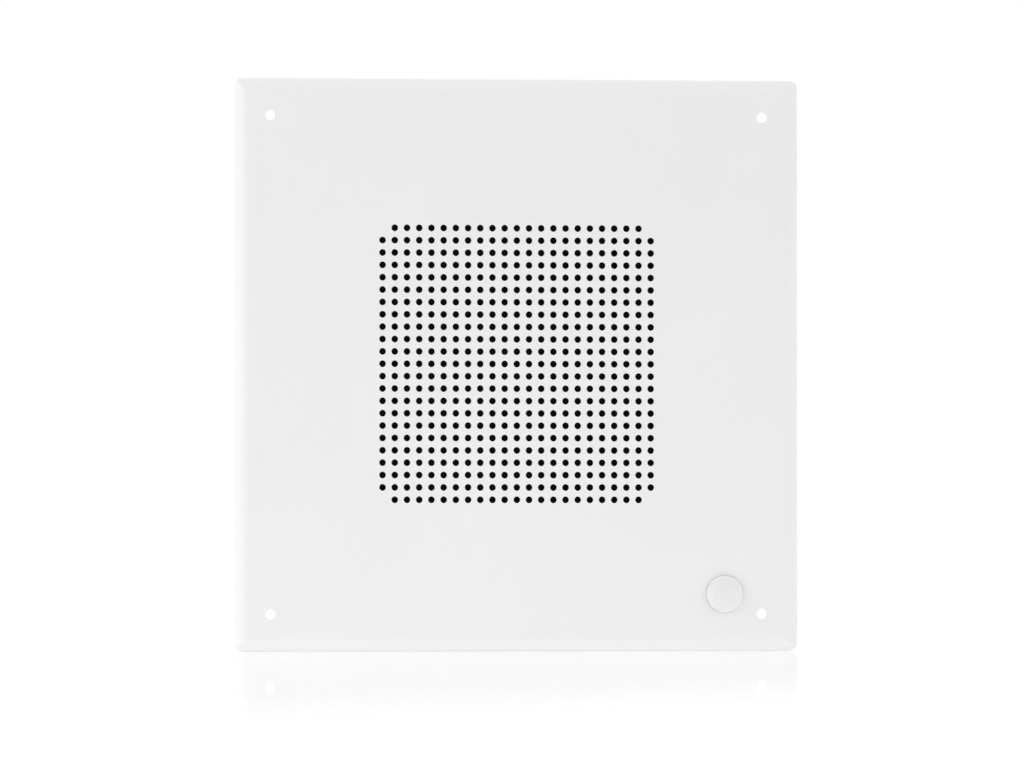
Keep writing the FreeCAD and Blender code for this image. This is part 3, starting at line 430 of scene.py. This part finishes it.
def badgeProfile(size):
    # from the foot out to the side, over a quarter round to the rim, down a groove,
    # then a shallow cap to the middle: rise = dome (1 - (r / inner)^2)
    turn = np.linspace(0, np.pi / 2, 7)
    soft = size["soft"]
    foot = [[0.0, 0.0], [size["foot"], 0.0], [size["foot"], -size["footHeight"]],
            [size["radius"], -size["undercut"]]]
    rim = np.stack([size["radius"] - soft + soft * np.cos(turn),
                    -(size["edge"] - soft) - soft * np.sin(turn)], 1)
    inner = size["radius"] - size["rimWidth"]
    step = [[inner + size["step"], -size["edge"]], [inner, -size["edge"] + size["groove"]]]
    reach = np.linspace(inner - size["step"], 0, 24)
    rise = size["dome"] * (1 - (reach / inner) ** 2)
    cap = np.stack([reach, -size["edge"] + 0.3 * size["groove"] - rise], 1)
    return np.concatenate([foot, rim, step, cap])


badgeGrid = turned(badgeProfile(badgeSize), 96, badgeSize["x"], badgeSize["z"])
badge = newPiece("badgeDisc", [badgeGrid], "badgeFace")
settle(badge, "badge_face", "badge")
print("badge made")


# Scrim: black cloth behind the perforated field

scrimSize = {"radius": 101.8, "front": 0.92, "wall": 0.36, "thread": 3.0, "ripple": 0.015}


def scrimProfile(size):
    # flat disc with slight rings where the cloth was stretched
    reach = np.linspace(0, size["radius"], 60)
    line = size["front"] + size["ripple"] * (1 + np.sin(2 * np.pi * reach / size["thread"]))
    return walled(reach, line, size["wall"] - 2 * size["ripple"])


scrim = newPiece("scrimCloth", [turned(scrimProfile(scrimSize), 128)], "blackCloth")
settle(scrim, "scrim_cloth", "scrim")
print("scrim made")


# Gasket: foam ring squeezed between scrim and flange, so its edges bulge

gasketSize = {"inner": 92.0, "outer": 103.0, "front": 1.3, "back": 4.3, "bulge": 0.35}


def gasketProfile(size):
    # closed loop: each edge is half an ellipse that stands bulge inside the ring's limits at its corners
    turn = np.linspace(-np.pi / 2, np.pi / 2, 9)
    middle, half = (size["front"] + size["back"]) / 2, (size["back"] - size["front"]) / 2
    swell = size["bulge"] * (1 - np.cos(turn))
    depth = middle + half * np.sin(turn)
    outer = np.stack([size["outer"] - swell, depth], 1)
    inner = np.stack([size["inner"] + swell, depth], 1)
    return np.concatenate([outer, inner[::-1]])


gasket = newPiece("gasketRing", [turned(gasketProfile(gasketSize), 160)], "foamBlack", closeRows=True)
settle(gasket, "gasket_foam", "gasket")
print("gasket made")


# Studs and nuts

driverPlace = 68.483
transformerPlace = {"x": 92.0, "z": 100.868, "earReach": 27.7}
studSize = {"radius": 2.1, "start": 0.9, "length": 14.0, "pitch": 0.8, "depth": 0.3, "point": 0.6,
            "plain": 1.2}
earStudSize = {"radius": 1.75, "start": 0.9, "length": 8.0, "pitch": 0.6, "depth": 0.24, "point": 0.6,
               "plain": 0.8}
nutSize = {"flats": 7.0, "seat": 5.3, "height": 4.1, "collar": 4.2, "collarHeight": 0.9, "bore": 2.1}
earNutSize = {"flats": 5.5, "seat": 2.1, "height": 2.8, "collar": 0.0, "collarHeight": 0.0, "bore": 1.75}
nutCut = {"gap": 0.02, "crown": 0.55, "face": 0.96, "foot": 0.97, "collarDrop": 0.25, "collarStep": 0.3,
          "mouth": 0.3, "slope": 60}


def threadedRod(size, x, z):
    # radius = rod less a triangle wave that climbs one pitch each turn, with a plain foot and a pointed tip
    end = size["start"] + size["length"]
    depth = np.linspace(size["start"], end, int(size["length"] / size["pitch"] * 10))[:, None]
    angle = np.linspace(0, 2 * np.pi, 28, endpoint=False)[None, :]
    phase = (depth / size["pitch"] - angle / (2 * np.pi)) % 1
    groove = size["depth"] * np.abs(2 * phase - 1)
    groove = groove * np.clip((depth - size["start"] - size["plain"]) / size["pitch"], 0, 1)
    radius = np.minimum(size["radius"] - groove, size["radius"] - size["point"] + (end - depth))
    rod = np.stack([x + radius * np.cos(angle), depth + 0 * angle, z + radius * np.sin(angle)], -1)
    foot, tip = rod[:1].copy(), rod[-1:].copy()
    foot[..., 0], foot[..., 2] = x, z
    tip[..., 0], tip[..., 2] = x, z
    return np.concatenate([foot, rod, tip])


def hexNut(size, x, z):
    # outer radius = half flats over cos of the angle from the nearest flat, cut by a cone at the top
    angle = np.linspace(0, 2 * np.pi, 96, endpoint=False)[None, :]
    sixth = np.pi / 3
    hexagon = size["flats"] / 2 / np.cos((angle + sixth / 2) % sixth - sixth / 2)
    top, base = size["seat"] + size["height"], size["seat"] + size["collarHeight"]
    depth = np.concatenate([[base + nutCut["gap"]], np.linspace(top - nutCut["crown"], top, 10)])[:, None]
    cone = size["flats"] / 2 * nutCut["face"] + (top - depth) * math.tan(math.radians(nutCut["slope"]))
    sides = np.minimum(hexagon, cone)
    grid = np.stack([x + sides * np.cos(angle), depth + 0 * angle, z + sides * np.sin(angle)], -1)
    rings = [[size["bore"], size["seat"]]]
    if size["collar"]:
        rings += [[size["collar"], size["seat"]], [size["collar"], base - nutCut["collarDrop"]],
                  [size["collar"] - nutCut["collarStep"], base]]
    else:
        rings += [[size["flats"] / 2 * nutCut["foot"], size["seat"]]]
    bore = [[size["bore"] + nutCut["mouth"], top], [size["bore"], top - nutCut["mouth"]],
            [size["bore"], size["seat"]]]
    return np.concatenate([turned(rings, 96, x, z), grid, turned(bore, 96, x, z)])


driverSpots = [(sx * driverPlace, sz * driverPlace) for sx in (1, -1) for sz in (1, -1)]
earSpots = [(transformerPlace["x"] + side * transformerPlace["earReach"], transformerPlace["z"])
            for side in (-1, 1)]
studs = newPiece("driverStuds", [threadedRod(studSize, x, z) for x, z in driverSpots], "zincBright")
settle(studs, "zinc_plate", "driver_studs")
earStuds = newPiece("transformerStuds", [threadedRod(earStudSize, x, z) for x, z in earSpots], "zincBright")
settle(earStuds, "zinc_plate", "transformer_studs")
nuts = newPiece("driverNuts", [hexNut(nutSize, x, z) for x, z in driverSpots], "zincBright")
settle(nuts, "zinc_plate", "driver_nuts")
earNuts = newPiece("transformerNuts", [hexNut(earNutSize, x, z) for x, z in earSpots], "zincBright")
settle(earNuts, "zinc_plate", "transformer_nuts")
print("studs and nuts made")


# Cone: pulp cone with pressed rings

coneSize = {"neck": 12.9, "lipStart": 69.5, "radius": 73.0, "rim": 8.45, "neckDepth": 36.95, "wall": 0.7,
            "rings": (36.0, 62.0, 4.0), "ringHeight": 0.35, "lipBend": 0.4, "lipSteps": 5}


def coneProfile(size):
    # straight slope from neck to lip, with rounded rings pressed towards the front, then a flat lip
    reach = np.linspace(size["neck"], size["lipStart"], 140)
    fall = (size["neckDepth"] - size["rim"]) / (size["lipStart"] - size["neck"])
    front = size["neckDepth"] - (reach - size["neck"]) * fall
    first, last, pitch = size["rings"]
    wave = np.clip(np.sin(2 * np.pi * (reach - first) / pitch), 0, 1) ** 2
    front = front - size["ringHeight"] * wave * ((reach > first) & (reach < last))
    lip = np.linspace(size["lipStart"] + size["lipBend"], size["radius"], size["lipSteps"])
    flat = np.full(size["lipSteps"], size["rim"])
    return walled(np.concatenate([reach, lip]), np.concatenate([front, flat]), size["wall"])


cone = newPiece("paperCone", [turned(coneProfile(coneSize), 180)], "conePulp", closeRows=True, sharpAngle=60)
settle(cone, "cone_paper", "cone", body=coneBody)
print("cone made")


# Surround and spider: pleated cloth that meets the frame at its outer edge and the cone at its inner one

surroundSize = {"outer": 89.9, "fold": (82.5, 73.0), "inner": 70.1, "back": 8.3, "wall": 0.5, "height": 1.0,
                "pleats": 3}
spiderSize = {"outer": 47.4, "fold": (40.0, 16.55), "inner": 13.05, "back": 42.8, "wall": 0.5, "height": 1.2,
              "pleats": 6}


def pleatedProfile(size):
    # flat lips, and between them half sine waves that stand to the front first, counted from the outer edge
    start, end = size["fold"]
    reach = np.concatenate([np.linspace(size["inner"], end, 6)[:-1],
                            np.linspace(end, start, 12 * size["pleats"] + 1),
                            np.linspace(start, size["outer"], 6)[1:]])
    turn = np.clip((start - reach) / (start - end), 0, 1) * size["pleats"]
    front = size["back"] - size["wall"] - size["height"] * np.sin(np.pi * turn)
    return walled(reach, front, size["wall"])


def pleatedRing(name, size, finishName, slot, node):
    # works out a share of the cone's motion, from 0 at the outer fold to 1 at the inner one, but doesn't
    # store it on the piece
    piece = newPiece(name, [turned(pleatedProfile(size), 200)], finishName, closeRows=True, sharpAngle=60)
    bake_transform(piece)
    count = len(piece.data.vertices)
    place = np.empty(count * 3, np.float32)
    piece.data.vertices.foreach_get("co", place)
    reach = np.hypot(place[0::3], place[2::3]) / mm
    start, end = size["fold"]
    share = np.clip((start - reach) / (start - end), 0, 1)
    share = share * share * (3 - 2 * share)
    settle(piece, slot, node)
    return piece


surround = pleatedRing("pleatedSurround", surroundSize, "dopedCloth", "surround_cloth", "surround")
spider = pleatedRing("pleatedSpider", spiderSize, "goldCloth", "spider_cloth", "spider")
print("surround and spider made")


# Wires

leadSize = {"diameter": 1.7, "bow": 3.4, "rise": 13.6, "tab": (34.4, 88.468), "tabs": (86.0, 98.0),
            "lugAlong": 68.25, "lugAcross": 8.5, "lugDepth": 49.4}
tinselSize = {"diameter": 1.0, "strands": 6, "twistMm": 3.2, "ridge": 0.09,
              "route": ((55.4, 8.5, 46.5), (54.4, 17, 48.5), (50.0, 17, 34.8), (44.0, 5.5, 22.99))}


def easyCurve(points, passes=5):
    # each pass cuts every corner at a quarter of its runs, which tends to a smooth quadratic curve
    path = np.asarray(points, float)
    for _ in range(passes):
        first, last = path[:-1], path[1:]
        cut = np.stack([0.75 * first + 0.25 * last, 0.25 * first + 0.75 * last], 1).reshape(-1, 3)
        path = np.concatenate([path[:1], cut[1:-1], path[-1:]])
    return path


def roundWire(path, radius, upright, sides=20, ridge=None):
    # circles across the path: sideways = tangent x upright, and ridge(angle, length) swells the radius
    tangent = np.gradient(path, axis=0)
    tangent /= np.linalg.norm(tangent, axis=1, keepdims=True)
    sideways = np.cross(tangent, upright)
    sideways /= np.linalg.norm(sideways, axis=1, keepdims=True)
    over = np.cross(sideways, tangent)
    angle = np.linspace(0, 2 * np.pi, sides, endpoint=False)
    length = np.concatenate([[0], np.cumsum(np.linalg.norm(np.diff(path, axis=0), axis=1))])
    size = radius * np.ones((len(path), sides))
    if ridge:
        size = size * ridge(angle[None, :], length[:, None])
    ring = sideways[:, None] * (size * np.cos(angle))[..., None]
    ring = ring + over[:, None] * (size * np.sin(angle))[..., None]
    tube = path[:, None] + ring
    ends = [np.repeat(path[i][None, None], sides, axis=1) for i in (0, -1)]
    return np.concatenate([ends[0], tube, ends[1]])


def leadRoute(size, side):
    # along a tab, one bow across, then down along a lug
    depth, z = size["tab"]
    start = np.array([size["tabs"][side], depth, z])
    end = alongBoard(size["lugAlong"], size["lugAcross"] * (1 - 2 * side), size["lugDepth"])
    rise = np.array([0, size["rise"], 0])
    leave, arrive = start + rise, end + rise
    sag = (leave + arrive) / 2 + np.array([size["bow"], 0, -size["bow"]])
    return [start, leave, sag, arrive, end]


for side, (name, finishName, slot, node) in enumerate((
    ("leadRed", "redSleeve", "red_sleeve", "output_lead_red"),
    ("leadBlack", "blackSleeve", "black_sleeve", "output_lead_black"),
)):
    path = easyCurve(leadRoute(leadSize, side))
    lead = newPiece(name, [roundWire(path, leadSize["diameter"] / 2, (1, 0.2, -1))], finishName)
    settle(lead, slot, node)


def tinselRoute(size, hand):
    # from a lug round the board's side, through the basket's window and on to the cone
    return [alongBoard(along, hand * across, depth) for along, across, depth in size["route"]]


def braidRidge(angle, length):
    # two sets of strands that wind opposite ways
    turn = 2 * np.pi * length / tinselSize["twistMm"]
    strands = tinselSize["strands"] / 2
    return 1 + tinselSize["ridge"] * (np.cos(strands * angle + turn) * np.cos(strands * angle - turn) - 1)


for hand, name in ((1, "tinselUpper"), (-1, "tinselLower")):
    route = tinselRoute(tinselSize, hand)
    grid = roundWire(easyCurve(route, 6), tinselSize["diameter"] / 2, (0.9, 0.3, -0.7), 18, braidRidge)
    tinsel = newPiece(name, [grid], "braid")
    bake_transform(tinsel)
    settle(tinsel, "tinsel_braid", "tinsel_leads")
print("wires made")


# Solder on the lugs and tabs, and eyelets that hold the lugs

solderSize = {"across": 8.5, "swell": 0.12,
              "lug": ((67.7, 50.6), (1.2, 2.4, 1.7)),
              "foot": ((55.4, 46.3), (1.5, 0.8, 1.4)),
              "tab": ((35.2, 88.9), (1.35, 2.0, 1.1))}
eyeletSize = {"along": 60.2, "across": 8.5,
              "profile": ((0, 46.55), (0.55, 46.55), (0.75, 46.75), (1.35, 46.7), (1.75, 46.4), (1.8, 46.0),
                          (0, 46.0))}


def blob(centre, radii, turn):
    # an ellipsoid, a little wider one way than the other, turned about Y
    up = np.linspace(-np.pi / 2, np.pi / 2, 17)[:, None]
    angle = np.linspace(0, 2 * np.pi, 28, endpoint=False)[None, :]
    swell = 1 + solderSize["swell"] * np.cos(2 * angle) * np.cos(up)
    x = radii[0] * np.cos(up) * np.cos(angle) * swell
    z = radii[2] * np.cos(up) * np.sin(angle) * swell
    y = radii[1] * np.sin(up) + 0 * angle
    cosine, sine = math.cos(turn), math.sin(turn)
    return np.stack([centre[0] + cosine * x - sine * z, centre[1] + y, centre[2] + sine * x + cosine * z], -1)


blobs = []
for hand in (1, -1):
    for (along, depth), radii in (solderSize["lug"], solderSize["foot"]):
        blobs.append(blob(alongBoard(along, hand * solderSize["across"], depth), radii, math.pi / 4))
tabPlace, tabRadii = solderSize["tab"]
for x in leadSize["tabs"]:
    blobs.append(blob(np.array([x, *tabPlace]), tabRadii, 0.0))
solderPiece = newPiece("solderJoints", blobs, "solder")
settle(solderPiece, "tinned_brass")

eyeletSpots = [alongBoard(eyeletSize["along"], hand * eyeletSize["across"], 0) for hand in (1, -1)]
eyeletGrids = [turned(eyeletSize["profile"], 40, spot[0], spot[2]) for spot in eyeletSpots]
eyelets = newPiece("lugEyelets", eyeletGrids, "tinned")
settle(eyelets, "tinned_brass")
print("solder and eyelets made")


# Table, light and camera

cameraFit = {"focalPixels": 12000.0, "widthPixels": 1024, "sensor": 36.0, "reach": (0.1, 100.0),
             "yaw": 9.13, "pitch": -0.72, "shift": (2.53, 6173.0, 9.73)}
tableSize = {"half": 30000.0, "mirror": 0.52, "fade": (-2350.0, -1400.0), "slant": -2.8, "end": (50.0, 120.0),
             "white": 0.97, "shade": 0.06, "matt": 0.94, "mirrorRough": 0.02}
roomLight = 0.646
lamps = {    # place, aim, width, height in metres and power
    "leftPanel": ((-2.4, -0.2, 0.72), (0, 0, 0), 1.2, 1.4, 40.0),
    "rightPanel": ((2.4, -0.3, 0.72), (0, 0, 0), 1.2, 1.4, 18.5),
    "frontPanel": ((-0.6, -3.0, 0.62), (0, 0, 0), 1.6, 1.4, 3.6),
    "topPanel": ((0, -0.25, 2.2), (0, 0, 0), 1.6, 0.6, 8.2),
    "underPanel": ((0, -0.125, -0.74), (0, -0.005, -0.1), 1.2, 0.4, 1.65),
}


def whiteRays(tree):
    # 1 for rays from the camera, from shiny surfaces and through clear ones
    light = addNode(tree, "ShaderNodeLightPath")
    seen = combine(tree, "MAXIMUM", light.outputs["Is Camera Ray"], light.outputs["Is Glossy Ray"])
    return combine(tree, "MAXIMUM", seen, light.outputs["Is Transmission Ray"])


def tableFinish(size):
    # white light of its own plus a share of shading, so that open table is white and shadow shows;
    # the mirror share fades towards the camera, along a line slant times as far across as along
    material, tree, shader = newMaterial("whiteTable")
    output = next(node for node in tree.nodes if node.type == "OUTPUT_MATERIAL")
    tree.nodes.remove(shader)
    white = addNode(tree, "ShaderNodeEmission")
    white.inputs["Strength"].default_value = size["white"]
    shade = addNode(tree, "ShaderNodeBsdfDiffuse")
    shade.inputs["Color"].default_value = (size["shade"], size["shade"], size["shade"], 1)
    lit = addNode(tree, "ShaderNodeAddShader")
    tree.links.new(white.outputs["Emission"], lit.inputs[0])
    tree.links.new(shade.outputs["BSDF"], lit.inputs[1])
    gloss = addNode(tree, "ShaderNodeBsdfGlossy")
    gloss.inputs["Color"].default_value = (1, 1, 1, 1)
    gloss.inputs["Roughness"].default_value = size["mirrorRough"]
    matt = addNode(tree, "ShaderNodeBsdfDiffuse")
    matt.inputs["Color"].default_value = (size["matt"], size["matt"], size["matt"], 1)
    turn = addNode(tree, "ShaderNodeMapping")
    turn.inputs["Rotation"].default_value = (0, 0, math.radians(cameraFit["yaw"]))
    tree.links.new(objectPlace(tree), turn.inputs["Vector"])
    place = addNode(tree, "ShaderNodeSeparateXYZ")
    tree.links.new(turn.outputs["Vector"], place.inputs["Vector"])
    across = combine(tree, "MULTIPLY", place.outputs["X"], size["slant"])
    near, far = size["fade"]
    reach = combine(tree, "ADD", place.outputs["Y"], across)
    mirrored = addNode(tree, "ShaderNodeMixShader")
    fade = span(tree, reach, 0.0, size["mirror"], near * mm, far * mm)
    start, stop = size["end"]
    behind = span(tree, place.outputs["Y"], size["mirror"], 0.0, start * mm, stop * mm)
    fade = combine(tree, "MINIMUM", fade, behind)
    tree.links.new(fade, mirrored.inputs["Fac"])
    tree.links.new(lit.outputs["Shader"], mirrored.inputs[1])
    tree.links.new(gloss.outputs["BSDF"], mirrored.inputs[2])
    final = addNode(tree, "ShaderNodeMixShader")
    tree.links.new(whiteRays(tree), final.inputs["Fac"])
    tree.links.new(matt.outputs["BSDF"], final.inputs[1])
    tree.links.new(mirrored.outputs["Shader"], final.inputs[2])
    tree.links.new(final.outputs["Shader"], output.inputs["Surface"])
    return material


def makeTable(size):
    # a flat square grid under the speaker's lower edge
    reach = np.linspace(-size["half"], size["half"], 5)
    x, y = np.meshgrid(reach, reach, indexing="ij")
    finishes["whiteTable"] = tableFinish(size)
    grid = np.stack([x, y, np.full_like(x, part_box("baffle")[0].z / mm)], -1)
    table = newPiece("table", [grid], "whiteTable", closeColumns=False)
    table.visible_shadow = False    # clear to the panel below, as a light table is


def makeWorld(level):
    # white to the eye and in reflections, and level as light on the speaker
    world = bpy.data.worlds.new("whiteRoom")
    world.use_nodes = True
    tree = world.node_tree
    background = tree.nodes["Background"]
    background.inputs["Color"].default_value = (1, 1, 1, 1)
    tree.links.new(span(tree, whiteRays(tree), level, 1.0, 0.0, 1.0), background.inputs["Strength"])
    world.cycles.sampling_method = "NONE"    # its light comes from above the table only
    bpy.context.scene.world = world


def addLamp(name, place, target, width, height, power):
    # a flat panel at place that faces target and doesn't show itself
    lamp = bpy.data.lights.new(name, "AREA")
    lamp.shape, lamp.size, lamp.size_y, lamp.energy = "RECTANGLE", width, height, power
    piece = bpy.data.objects.new(name, lamp)
    bpy.context.scene.collection.objects.link(piece)
    forward = np.asarray(target, float) - np.asarray(place, float)
    forward /= np.linalg.norm(forward)
    right = np.cross(forward, (0, 0, 1))
    right /= np.linalg.norm(right)
    setPose(piece, place, right, np.cross(right, forward), -forward)
    lamp.cycles.use_multiple_importance_sampling = False    # so that the table dims no lamp below it
    piece.visible_camera = False
    piece.visible_glossy = False
    return piece


def setPose(piece, place, right, up, back):
    # the three axes and the place are the columns of the piece's matrix
    rows = [[right[i], up[i], back[i], place[i]] for i in range(3)] + [[0, 0, 0, 1]]
    piece.matrix_world = mathutils.Matrix(rows)


def makeCamera(fit):
    # the object's frame is turned by yaw, then pitch, and set shift away: the camera is the inverse of that
    yaw, pitch = math.radians(fit["yaw"]), math.radians(fit["pitch"])
    turn = np.array([[math.cos(yaw), -math.sin(yaw), 0], [math.sin(yaw), math.cos(yaw), 0], [0, 0, 1]])
    tilt = np.array([[1, 0, 0], [0, math.cos(pitch), -math.sin(pitch)],
                     [0, math.sin(pitch), math.cos(pitch)]])
    axes = tilt @ turn
    place = -axes.T @ np.array(fit["shift"]) * mm
    lens = bpy.data.cameras.new("photoCamera")
    lens.sensor_width = fit["sensor"]
    lens.lens = fit["focalPixels"] * lens.sensor_width / fit["widthPixels"]
    lens.clip_start, lens.clip_end = fit["reach"]
    camera = bpy.data.objects.new("photoCamera", lens)
    bpy.context.scene.collection.objects.link(camera)
    setPose(camera, place, axes[0], axes[2], -axes[1])
    bpy.context.scene.camera = camera


makeTable(tableSize)
makeWorld(roomLight)
for lampName, lampFit in lamps.items():
    addLamp(lampName, *lampFit)
makeCamera(cameraFit)
bpy.context.scene.view_settings.view_transform = "Standard"
print("table, light and camera set")
